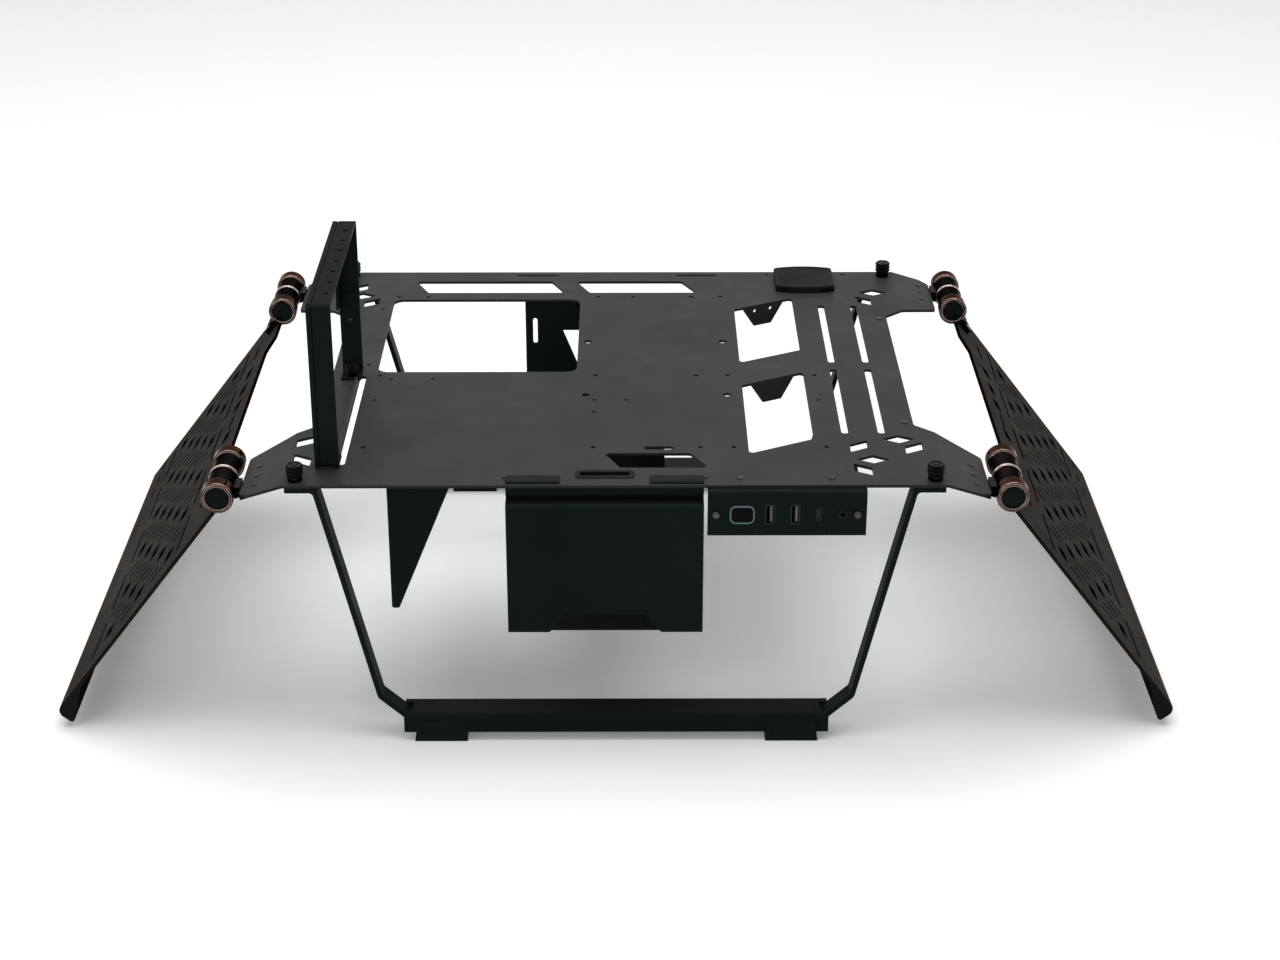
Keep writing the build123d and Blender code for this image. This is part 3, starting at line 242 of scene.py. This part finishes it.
def finishMaterial(name, look, panel=None):
    mat, shader = startMaterial(name)
    coords = addNode(mat, "ShaderNodeTexCoord").outputs
    place = coords["Object"]
    cloud = noiseOf(mat, place, pattern["drift"], pattern["driftDetail"])
    speck = noiseOf(mat, place, pattern["speck"], pattern["fineDetail"])
    tone = ranged(mat, cloud, 0.0, 1.0, *pattern["driftSpan"])
    # reflection bands take the place of the tone: painted reflection, dark at the hinge axis height
    if "reflectionBands" in look:
        tone = paintReflectionBands(mat, place, look["reflectionBands"], look["shift"])
    base = mixed(mat, tone, look["dark"], look["light"])
    # upward faces take a lighter colour: painted top light
    if "paintedTopLight" in look:
        upward = facing(mat, coords["Normal"], (0, 0, 1), pattern["paintedTopSpan"])
        base = mixed(mat, upward, base, look["paintedTopLight"])
    if "reflectionBands" not in look and "paintedTopLight" not in look:
        mottle = ranged(mat, speck, 0.0, pattern["speckShare"], *pattern["speckSpan"])
        base = mixed(mat, mottle, base, look["light"])
    # edges get the lighter edge colour: partly real edge wear, partly a painted edge highlight
    edge, softNormal = edgeMask(mat, look.get("round", pattern["edgeRound"]))
    rubbedAndShine = addNode(mat, "ShaderNodeMath")
    rubbedAndShine.operation = "MULTIPLY"
    wire(mat, edge, rubbedAndShine.inputs[0])
    if "reflectionBands" in look:
        rubbedAndShine.inputs[1].default_value = look["wearAndShine"]
    else:
        most = look["wearAndShine"] + pattern["rubGain"]
        rub = noiseOf(mat, place, pattern["rub"])
        wire(mat, ranged(mat, rub, pattern["rubLeast"], most, *pattern["rubSpan"]), rubbedAndShine.inputs[1])
    base = mixed(mat, rubbedAndShine.outputs["Value"], base, look["edge"])
    if "lug" in look:
        base = mixed(mat, onBarrel(mat, place), look["lug"], base)
    # faces that do not look along the panel, other than the rim, take a near-black colour: painted shade on
    # the slot walls
    if panel:
        wall = mixed(mat, rimOff(mat, place), look["rim"], look["cut"])
        base = mixed(mat, facing(mat, coords["Normal"], panel, pattern["coatSpan"]), wall, base)
    wire(mat, base, shader.inputs["Base Color"])
    blotch = noiseOf(mat, place, pattern["blotch"], pattern["blotchDetail"])
    wire(mat, ranged(mat, blotch, *look["rough"], *pattern["blotchSpan"]), shader.inputs["Roughness"])
    bump = addNode(mat, "ShaderNodeBump", Strength=pattern["bump"], Distance=look["depth"])
    if "turned" in look:
        shader.inputs["Metallic"].default_value = 1.0
        rimTint = look.get("tint", 1.0)
        shader.inputs["Specular Tint"].default_value = (rimTint, rimTint, rimTint, 1)
        if "lug" in look:
            wire(mat, onBarrel(mat, place), shader.inputs["Metallic"])
            shader.inputs["Specular IOR Level"].default_value = look["lugGloss"]
        wave = addNode(mat, "ShaderNodeTexWave", Scale=look["turned"])
        wave.inputs["Distortion"].default_value = pattern["turnWarp"]
        wave.inputs["Detail"].default_value = pattern["turnDetail"]
        wave.bands_direction = "Y"
        wire(mat, place, wave.inputs["Vector"])
        wire(mat, wave.outputs["Fac"], bump.inputs["Height"])
    else:
        shader.inputs["Specular IOR Level"].default_value = look["gloss"]
        wire(mat, noiseOf(mat, place, look["grain"], pattern["fineDetail"]), bump.inputs["Height"])
    wire(mat, softNormal, bump.inputs["Normal"])
    wire(mat, bump.outputs["Normal"], shader.inputs["Normal"])
    return mat


# wings: the sheet's two faces and its outer rim carry the coat, the walls of the slots get a near-black
# painted shade
wingSlope = math.radians(52.3)
rightFace = (math.sin(wingSlope), 0.0, math.cos(wingSlope))
leftFace = (-math.sin(wingSlope), 0.0, math.cos(wingSlope))
plainLooks = {
    "plateLitPaint": plateLitPaint, "standHalfLitPaint": standHalfLitPaint, "legShadedPaint": legShadedPaint, "barrelBlack": barrelBlack,
    "knobBlack": knobBlack, "ringChrome": ringChrome, "dishGold": dishGold, "screwCopper": screwCopper,
    "screwDark": screwDark, "screwSteel": screwSteel, "pinSteel": pinSteel, "portShell": portShell,
    "discEnamel": discEnamel, "softRubber": softRubber, "footRubber": footRubber,
    "mouldedBlack": mouldedBlack, "buttonGloss": buttonGloss, "lampPlastic": lampPlastic,
    "boardMask": boardMask, "tongueGrey": tongueGrey, "pinGold": pinGold,
}
finishes = {name: finishMaterial(name, look) for name, look in plainLooks.items()}
finishes["rightWingCoat"] = finishMaterial("rightWingCoat", wingCoat, rightFace)
finishes["leftWingCoat"] = finishMaterial("leftWingCoat", wingCoat, leftFace)

cornerNames = ["rear_right", "rear_left", "front_right", "front_left"]
nodeFinish = {
    # flat-lying parts take the lit copy of the black paint, the stand a half-lit copy, upright parts the
    # shaded copy
    "plateLitPaint": ["main_plate", "stand_strip"],
    "standHalfLitPaint": ["slot_stand", "stand_rear_leg"],
    "legShadedPaint": ["front_leg_frame", "rear_leg_frame", "front_base_rail", "rear_base_rail", "supply_cradle",
                 "support_fin", "io_panel"],
    "rightWingCoat": ["right_wing"],
    "leftWingCoat": ["left_wing"],
    "barrelBlack": [f"{corner}_{half}_knuckle" for corner in cornerNames for half in ("fixed", "moving")],
    "knobBlack": ["leg_thumbscrews", "stand_thumbscrews"],
    "ringChrome": ["hinge_washers", "fixed_end_rings", "left_wing_rings", "right_wing_rings"],
    "dishGold": ["rear_hinge_dishes", "left_wing_dish", "right_wing_dish", "rear_dish_screws",
                 "left_dish_screw", "right_dish_screw"],
    "screwDark": ["hinge_arm_screws", "left_wing_screws", "right_wing_screws"],
    "screwCopper": ["plate_screws"],
    "screwSteel": ["io_screws", "stand_screw"],
    "pinSteel": [f"{corner}_hinge_pin" for corner in cornerNames],
    "portShell": ["usb_a_ports", "usb_c_port"],
    "discEnamel": ["front_hinge_discs", "left_wing_disc", "right_wing_disc"],
    "softRubber": ["cable_pad", "cable_grommet"],
    "footRubber": [f"{corner}_foot" for corner in cornerNames],
    "mouldedBlack": ["io_housing", "audio_jack"],
    "buttonGloss": ["power_button"],
    "lampPlastic": ["button_bezel"],
    "boardMask": ["io_board"],
}
dressed = set()
for finish, names in nodeFinish.items():
    for name in names:
        slots = nodes[name].data.materials
        slots.clear()
        slots.append(finishes[finish])
        dressed.add(name)
print("finishes set on", len(dressed), "nodes; left plain:", sorted(set(nodes) - dressed))


def clearSelection():
    if bpy.context.object and bpy.context.object.mode != "OBJECT":
        bpy.ops.object.mode_set(mode="OBJECT")
    bpy.ops.object.select_all(action="DESELECT")


def activate(piece):
    clearSelection()
    piece.select_set(True)
    bpy.context.view_layer.objects.active = piece


def applyPlace(piece):
    activate(piece)
    bpy.ops.object.transform_apply(location=True, rotation=True, scale=True)


def startBlock(name, low, high):
    clearSelection()
    middle = [(a + b) / 2 for a, b in zip(low, high)]
    bpy.ops.mesh.primitive_cube_add(size=1.0, location=middle)
    piece = bpy.context.object
    piece.name = name
    piece.scale = [b - a for a, b in zip(low, high)]
    applyPlace(piece)
    return piece


def startDrum(name, radius, low, high, at, sides):
    clearSelection()
    place = (at[0], at[1], (low + high) / 2)
    bpy.ops.mesh.primitive_cylinder_add(vertices=sides, radius=radius, depth=high - low, location=place)
    piece = bpy.context.object
    piece.name = name
    applyPlace(piece)
    return piece


def pickFaces(piece, test):
    activate(piece)
    bpy.ops.object.mode_set(mode="EDIT")
    bpy.ops.mesh.select_mode(type="FACE")
    bpy.ops.mesh.select_all(action="DESELECT")
    bpy.ops.object.mode_set(mode="OBJECT")
    for face in piece.data.polygons:
        face.select = test(face)
    bpy.ops.object.mode_set(mode="EDIT")


# cosines that tell which way a face looks, and the angles for rounding and smooth shading
squareOn = 0.9
sloping = 0.8
upright = 0.2
roundAngle = math.radians(35)
smoothAngle = math.radians(32)


def rounding(piece, width, steps):
    activate(piece)
    bevel = piece.modifiers.new("rounding", "BEVEL")
    bevel.width = width
    bevel.segments = steps
    bevel.limit_method = "ANGLE"
    bevel.angle_limit = roundAngle
    bpy.ops.object.modifier_apply(modifier=bevel.name)
    bpy.ops.object.shade_smooth_by_angle(angle=smoothAngle)


def thicken(piece, thickness):
    activate(piece)
    wall = piece.modifiers.new("wall", "SOLIDIFY")
    wall.thickness = thickness
    wall.offset = -1.0
    bpy.ops.object.modifier_apply(modifier=wall.name)


def joinPieces(name, pieces):
    clearSelection()
    for piece in pieces:
        piece.select_set(True)
    bpy.context.view_layer.objects.active = pieces[0]
    if len(pieces) > 1:
        bpy.ops.object.join()
    joined = bpy.context.object
    joined.name = name
    joined.data.name = name
    applyPlace(joined)
    return joined


def dress(piece, finish, body, replaced=()):
    piece.data.materials.clear()
    piece.data.materials.append(finishes[finish])
    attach(piece, body)
    for node in replaced:
        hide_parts(node)
    return piece


# rubber feet: tapered block, bevelled panel let into front and back, tread on the sole
footShape = {"topShrink": (0.868, 0.94, 1.0), "panelEdge": 0.0026, "panelSink": 0.0007, "soleEdge": 0.0025,
             "soleSink": 0.0008, "treadCuts": 3, "treadGap": 0.0008, "round": 0.0007, "roundSteps": 3}


def makeFoot(corner):
    low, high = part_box(f"{corner}_foot")
    foot = startBlock(f"{corner}_rubberFoot", low, high)
    middle = ((low.x + high.x) / 2, (low.y + high.y) / 2, high.z)
    pickFaces(foot, lambda face: face.normal.z > squareOn)
    bpy.ops.transform.resize(value=footShape["topShrink"], center_override=middle)
    pickFaces(foot, lambda face: abs(face.normal.y) > sloping)
    bpy.ops.mesh.inset(thickness=footShape["panelEdge"], depth=0.0, use_individual=True)
    sink = footShape["panelSink"]
    bpy.ops.mesh.inset(thickness=sink, depth=-sink, use_individual=True)
    pickFaces(foot, lambda face: face.normal.z < -squareOn)
    bpy.ops.mesh.inset(thickness=footShape["soleEdge"], depth=-footShape["soleSink"])
    bpy.ops.mesh.subdivide(number_cuts=footShape["treadCuts"])
    tread = footShape["soleSink"] / 2
    bpy.ops.mesh.inset(thickness=footShape["treadGap"], depth=tread, use_individual=True)
    rounding(foot, footShape["round"], footShape["roundSteps"])
    dress(foot, "footRubber", "bench", [f"{corner}_foot"])


for corner in cornerNames:
    makeFoot(corner)
print("feet made")


# thumbscrews: plain collar, crossed knurl on the grip, dished top with a centre boss
knobShape = {"sides": 18, "rows": 2, "tooth": 0.0009, "collarShare": 0.85, "collarHigh": 0.35,
             "collarSides": 40, "overlap": 0.0004, "topEdge": 0.0012, "topStep": 0.0003, "topSink": 0.0006,
             "bossShare": 0.34, "bossSides": 24, "bossDrop": 0.0001, "round": 0.0003, "roundSteps": 2}


def makeKnob(name, at, radius, seat, height):
    shape = knobShape
    collarTop = seat + height * shape["collarHigh"]
    collarRadius = radius * shape["collarShare"]
    top = seat + height
    collar = startDrum(name, collarRadius, seat, collarTop + shape["overlap"], at, shape["collarSides"])
    rounding(collar, shape["round"], shape["roundSteps"])
    grip = startDrum(name + "Grip", radius - shape["tooth"], collarTop, top, at, shape["sides"])
    pickFaces(grip, lambda face: abs(face.normal.z) < upright)
    bpy.ops.mesh.subdivide(number_cuts=shape["rows"], quadcorner="INNERVERT")
    pickFaces(grip, lambda face: abs(face.normal.z) < upright)
    bpy.ops.mesh.poke(offset=shape["tooth"])
    pickFaces(grip, lambda face: face.normal.z > squareOn)
    bpy.ops.mesh.inset(thickness=shape["topEdge"], depth=0.0)
    bpy.ops.mesh.inset(thickness=shape["topStep"], depth=-shape["topSink"])
    bossLow = top - 2 * shape["topSink"]
    bossRadius = radius * shape["bossShare"]
    boss = startDrum(name + "Boss", bossRadius, bossLow, top - shape["bossDrop"], at, shape["bossSides"])
    rounding(boss, shape["round"], shape["roundSteps"])
    return joinPieces(name, [collar, grip, boss])


def makeKnobs(name, node, spots, radius, seat, height):
    made = [makeKnob(f"{name}{i}", spot, radius, seat, height) for i, spot in enumerate(spots)]
    dress(joinPieces(name, made), "knobBlack", "bench", [node])


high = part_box("leg_thumbscrews")[1]
plateSheet = 0.002
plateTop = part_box("io_panel")[1].z + plateSheet  # the plate lies on the port panel's flange
legKnob = {"radius": 0.0059, "height": high.z - plateTop}
edgeX = high.x - legKnob["radius"]
edgeY = high.y - legKnob["radius"]
legSpots = [(sx * edgeX, sy * edgeY) for sx in (-1, 1) for sy in (-1, 1)]
makeKnobs("legThumbscrews", "leg_thumbscrews", legSpots, legKnob["radius"], plateTop, legKnob["height"])

low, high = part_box("stand_thumbscrews")
standKnob = {"radius": (high.x - low.x) / 2, "height": 0.008}
standX = (low.x + high.x) / 2
standSpots = [(standX, low.y + standKnob["radius"]), (standX, high.y - standKnob["radius"])]
standSeat = high.z - standKnob["height"]
makeKnobs("standThumbscrews", "stand_thumbscrews", standSpots, standKnob["radius"], standSeat,
          standKnob["height"])
print("thumbscrews made")


# inside the ports: dark liners, contact tongues and the jack's spring ring
portInside = {"shell": 0.0006, "lip": 0.0004, "wall": 0.00035, "round": 0.0002, "roundSteps": 2}


def makeLiner(name, low, high):
    liner = startBlock(name, low, high)
    pickFaces(liner, lambda face: face.normal.y < -squareOn)
    bpy.ops.mesh.delete(type="FACE")
    thicken(liner, portInside["wall"])
    dress(liner, "mouldedBlack", "bench")


usbA = {"width": 0.0060, "tongueWide": 0.0018, "tongueTall": 0.0113, "tongueFront": 0.0012, "shift": 0.0009,
        "pins": 4, "pinTall": 0.0013, "pinProud": 0.00012, "pinFront": 0.0006, "pinSeat": 0.0002,
        "pinRound": 0.00005, "pinRoundSteps": 1}


def makeUsbA(index, low, high):
    shell = portInside["shell"]
    inLow = Vector((low.x + shell, low.y + portInside["lip"], low.z + shell))
    inHigh = Vector((high.x - shell, high.y - shell, high.z - shell))
    makeLiner(f"usbALiner{index}", inLow, inHigh)
    x = (low.x + high.x) / 2 + usbA["shift"]
    z = (low.z + high.z) / 2
    wide, tall = usbA["tongueWide"] / 2, usbA["tongueTall"] / 2
    front = low.y + usbA["tongueFront"]
    tongue = startBlock(f"usbATongue{index}", (x - wide, front, z - tall), (x + wide, inHigh.y, z + tall))
    rounding(tongue, portInside["round"], portInside["roundSteps"])
    dress(tongue, "tongueGrey", "bench")
    step = usbA["tongueTall"] / usbA["pins"]
    half = usbA["pinTall"] / 2
    pins = []
    for k in range(usbA["pins"]):
        pz = z - tall + step * (k + 0.5)
        pinLow = (x - wide - usbA["pinProud"], front + usbA["pinFront"], pz - half)
        pinHigh = (x - wide + usbA["pinSeat"], inHigh.y, pz + half)
        pin = startBlock(f"usbAPin{index}_{k}", pinLow, pinHigh)
        rounding(pin, usbA["pinRound"], usbA["pinRoundSteps"])
        pins.append(pin)
    dress(joinPieces(f"usbAPins{index}", pins), "pinGold", "bench")


low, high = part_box("usb_a_ports")
makeUsbA(0, Vector(low), Vector((low.x + usbA["width"], high.y, high.z)))
makeUsbA(1, Vector((high.x - usbA["width"], low.y, low.z)), Vector(high))

usbC = {"tongueWide": 0.0007, "tongueTall": 0.0066, "tongueFront": 0.0010, "tongueRound": 0.00015,
        "backGap": 0.0007, "wellSide": 0.0008, "wellEnd": 0.0014, "wellLong": 0.0040, "wellRound": 0.0003}
low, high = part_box("usb_c_port")
middle = (low + high) / 2
cHalfWide = usbC["tongueWide"] / 2
cHalfTall = usbC["tongueTall"] / 2
cFront = low.y + usbC["tongueFront"]
cEnd = high.y - usbC["backGap"]
cTongue = startBlock("usbCTongue", (middle.x - cHalfWide, cFront, middle.z - cHalfTall),
                     (middle.x + cHalfWide, cEnd, middle.z + cHalfTall))
rounding(cTongue, usbC["tongueRound"], portInside["roundSteps"])
dress(cTongue, "tongueGrey", "bench")
wellLow = (low.x + usbC["wellSide"], high.y - usbC["wellLong"], low.z + usbC["wellEnd"])
wellHigh = (high.x - usbC["wellSide"], cEnd, high.z - usbC["wellEnd"])
cWell = startBlock("usbCWell", wellLow, wellHigh)
rounding(cWell, usbC["wellRound"], portInside["roundSteps"])
dress(cWell, "mouldedBlack", "bench")

jackRing = {"outer": 0.00172, "inner": 0.00142, "front": 0.0009, "long": 0.0035, "sides": 40,
            "round": 0.00006}
quarterTurn = math.radians(90)
low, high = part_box("audio_jack")
clearSelection()
middle = (low + high) / 2
ringAt = (middle.x, low.y + jackRing["front"] + jackRing["long"] / 2, middle.z)
bpy.ops.mesh.primitive_cylinder_add(vertices=jackRing["sides"], radius=jackRing["outer"],
                                    depth=jackRing["long"], end_fill_type="NOTHING", location=ringAt,
                                    rotation=(quarterTurn, 0, 0))
ring = bpy.context.object
ring.name = "jackSpringRing"
thicken(ring, jackRing["outer"] - jackRing["inner"])
applyPlace(ring)
rounding(ring, jackRing["round"], portInside["roundSteps"])
dress(ring, "portShell", "bench")
print("port insides made")


# cable pad: the moulded cap with a rim round its let-in top
padShape = {"rim": 0.0016, "step": 0.0004, "sink": 0.0003, "weld": 0.00002, "flat": 0.995, "topBand": 0.00005}


def makePad():
    pad = bpy.data.objects.new("cablePadCap", nodes["cable_pad"].data.copy())
    bpy.context.scene.collection.objects.link(pad)
    activate(pad)
    bpy.ops.object.mode_set(mode="EDIT")
    bpy.ops.mesh.select_all(action="SELECT")
    bpy.ops.mesh.remove_doubles(threshold=padShape["weld"])
    bpy.ops.object.mode_set(mode="OBJECT")
    topLow = max(v.co.z for v in pad.data.vertices) - padShape["topBand"]
    pickFaces(pad, lambda face: face.normal.z > padShape["flat"] and face.center.z > topLow)
    bpy.ops.mesh.dissolve_faces()
    bpy.ops.mesh.inset(thickness=padShape["rim"], depth=0.0, use_even_offset=False)
    bpy.ops.mesh.inset(thickness=padShape["step"], depth=-padShape["sink"], use_even_offset=False)
    activate(pad)
    bpy.ops.object.shade_smooth_by_angle(angle=smoothAngle)
    dress(pad, "softRubber", "bench", ["cable_pad"])


makePad()
print("cable pad made")


# studio: pale floor, soft overhead light, white surroundings
studio = {"floorSize": 14.0, "floorSeen": (0.97, 0.97, 0.97), "floorBounce": (0.55, 0.55, 0.55),
          "floorLift": 0.16, "floorRough": 0.9, "floorGloss": 0.1, "ambient": 0.32, "aim": (0, 0, 0.15),
          "topPower": 56.0, "topSize": (2.8, 2.2), "topAt": (0.0, 0.25, 2.5),
          "fillPower": 9.0, "fillSize": (1.6, 1.6), "fillAt": (-1.9, -1.9, 1.5)}


def directlySeen(tree):
    path = tree.nodes.new("ShaderNodeLightPath")
    share = path.outputs["Is Camera Ray"]
    for ray in ("Is Glossy Ray", "Is Transmission Ray"):
        either = tree.nodes.new("ShaderNodeMath")
        either.operation = "MAXIMUM"
        tree.links.new(share, either.inputs[0])
        tree.links.new(path.outputs[ray], either.inputs[1])
        share = either.outputs["Value"]
    return share


def makeFloor():
    clearSelection()
    bpy.ops.mesh.primitive_plane_add(size=studio["floorSize"], location=(0, 0, 0))
    floor = bpy.context.object
    floor.name = "studioFloor"
    mat, shader = startMaterial("studioFloorPaper")
    seen = directlySeen(mat.node_tree)
    wire(mat, mixed(mat, seen, studio["floorBounce"], studio["floorSeen"]), shader.inputs["Base Color"])
    wire(mat, ranged(mat, seen, 0.0, studio["floorLift"]), shader.inputs["Emission Strength"])
    shader.inputs["Emission Color"].default_value = (1, 1, 1, 1)
    shader.inputs["Roughness"].default_value = studio["floorRough"]
    shader.inputs["Specular IOR Level"].default_value = studio["floorGloss"]
    floor.data.materials.append(mat)


def makeLight(name, power, size, at):
    lamp = bpy.data.lights.new(name, "AREA")
    lamp.energy = power
    lamp.size = size[0]
    if size[1] != size[0]:
        lamp.shape = "RECTANGLE"
        lamp.size_y = size[1]
    holder = bpy.data.objects.new(name, lamp)
    bpy.context.scene.collection.objects.link(holder)
    holder.location = at
    holder.rotation_euler = (Vector(studio["aim"]) - Vector(at)).to_track_quat("-Z", "Y").to_euler()


def makeWorld():
    world = bpy.data.worlds.new("studioWorld")
    bpy.context.scene.world = world
    world.use_nodes = True
    tree = world.node_tree
    back = tree.nodes["Background"]
    level = tree.nodes.new("ShaderNodeMapRange")
    level.inputs["To Min"].default_value = studio["ambient"]
    level.inputs["To Max"].default_value = 1.0
    tree.links.new(directlySeen(tree), level.inputs["Value"])
    tree.links.new(level.outputs["Result"], back.inputs["Strength"])
    back.inputs["Color"].default_value = (1, 1, 1, 1)


makeFloor()
makeLight("topSoftbox", studio["topPower"], studio["topSize"], studio["topAt"])
makeLight("sideFill", studio["fillPower"], studio["fillSize"], studio["fillAt"])
makeWorld()
print("studio ready")


# camera of the photograph's upper view, moved along its own frame so the object is centred
view = {"at": (0.0116, -1.6414, 0.8735), "tilt": 25.3, "yaw": -0.18, "focal": 2008.0, "enlarge": 1.22,
        "frameWidth": 1280.0, "sensor": 36.0, "near": 0.01, "far": 50.0}


def makeCamera():
    data = bpy.data.cameras.new("viewCamera")
    data.sensor_width = view["sensor"]
    data.lens = view["focal"] * view["enlarge"] / view["frameWidth"] * view["sensor"]
    data.clip_start = view["near"]
    data.clip_end = view["far"]
    camera = bpy.data.objects.new("viewCamera", data)
    bpy.context.scene.collection.objects.link(camera)
    camera.location = view["at"]
    camera.rotation_euler = (math.radians(90 - view["tilt"]), 0, math.radians(view["yaw"]))
    bpy.context.scene.camera = camera


makeCamera()
bpy.context.scene.view_settings.view_transform = "Standard"
print("camera ready")
